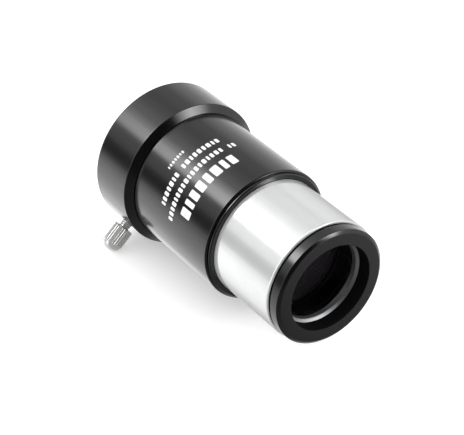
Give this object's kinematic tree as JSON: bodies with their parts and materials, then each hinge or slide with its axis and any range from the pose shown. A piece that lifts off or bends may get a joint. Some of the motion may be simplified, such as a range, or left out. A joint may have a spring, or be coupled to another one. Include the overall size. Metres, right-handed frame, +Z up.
{
  "type": "barlow lens",
  "caption": "Short barlow lens: eyepiece socket with a knurled clamp screw, black tube, chromed push-fit nosepiece and a lens cell that unscrews.",
  "frame": {"origin": "on the optical axis, at the shoulder where the nosepiece leaves the collar", "axes": "+X along the optical axis out of the nosepiece, towards the sky; +Z up with the lens lying on its side"},
  "size_m": [0.0723, 0.042, 0.0402],
  "materials": {
    "black_anodised": "black anodised, semi-gloss, fine turning marks",
    "chrome_plate": "mirror-bright chrome plate on brass",
    "matte_black": "matte black anodised",
    "bare_aluminium": "turned, satin",
    "coated_glass": "polished, magenta anti-reflection coating",
    "nickel_plate": "bright nickel plate, straight knurl"
  },
  "bodies": {
    "root": {"eyepiece_holder": "black_anodised", "body_tube": "black_anodised", "nosepiece_collar": "black_anodised", "nosepiece_barrel": "chrome_plate", "baffle_ring": "matte_black"},
    "screw_travel_body": {"screw_stud": "nickel_plate"},
    "screw_knob_body": {"screw_knob": "nickel_plate"},
    "lens_group": {"front_lens": "coated_glass", "lens_spacer": "matte_black", "rear_lens": "coated_glass"},
    "cell_body": {"lens_cell": "black_anodised", "retaining_ring": "bare_aluminium"}
  },
  "joints": [
    {"name": "screw_travel", "type": "slide", "parent": "root", "child": "screw_travel_body", "axis": [0, -0.7396, -0.673], "range_m": [-0.00125, 0.003]},
    {"name": "screw_turn", "type": "hinge", "parent": "screw_travel_body", "child": "screw_knob_body", "pos_m": [-0.0415, 0, 0], "axis": [0, -0.7396, -0.673], "range_deg": [-900, 2160]},
    {"name": "cell_travel", "type": "slide", "parent": "root", "child": "lens_group", "axis": [1, 0, 0], "range_m": [0, 0.0036]},
    {"name": "cell_turn", "type": "hinge", "parent": "lens_group", "child": "cell_body", "pos_m": [0.018, 0, 0], "axis": [1, 0, 0], "range_deg": [0, 2160]}
  ],
  "couplings": [
    {"joint": "screw_turn", "follows": "screw_travel", "rad_per_m": 12566},
    {"joint": "cell_turn", "follows": "cell_travel", "rad_per_m": 10472}
  ]
}
